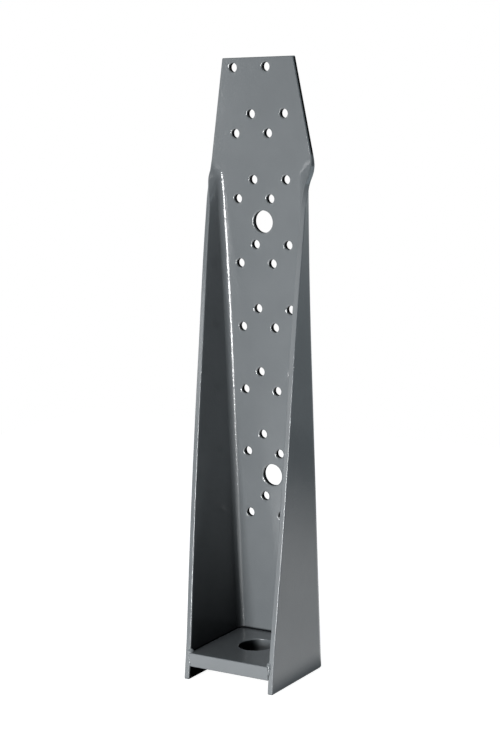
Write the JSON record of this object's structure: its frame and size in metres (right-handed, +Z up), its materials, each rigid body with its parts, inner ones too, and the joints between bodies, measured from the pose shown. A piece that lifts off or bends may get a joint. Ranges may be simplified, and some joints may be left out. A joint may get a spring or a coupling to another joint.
{
  "type": "hold down bracket",
  "caption": "Tall folded steel hold down bracket: drilled web with tapering flanges, flat flared tab at the top, welded seat plate with an anchor hole near the bottom.",
  "frame": {"origin": "under the middle of the part, at the level of the flange bottoms it stands on", "axes": "+Z up along the web towards the tab; +Y out of the flat back face towards the post; the open side faces -Y"},
  "size_m": [0.095, 0.079, 0.4762],
  "materials": {
    "painted_sheet": "glossy grey paint",
    "painted_plate": "glossy grey paint",
    "painted_weld": "glossy grey paint over weld metal"
  },
  "bodies": {
    "root": {"body": "painted_sheet", "seat_plate": "painted_plate", "left_front_weld": "painted_weld", "right_front_weld": "painted_weld", "left_seat_weld": "painted_weld", "right_seat_weld": "painted_weld"}
  },
  "joints": []
}
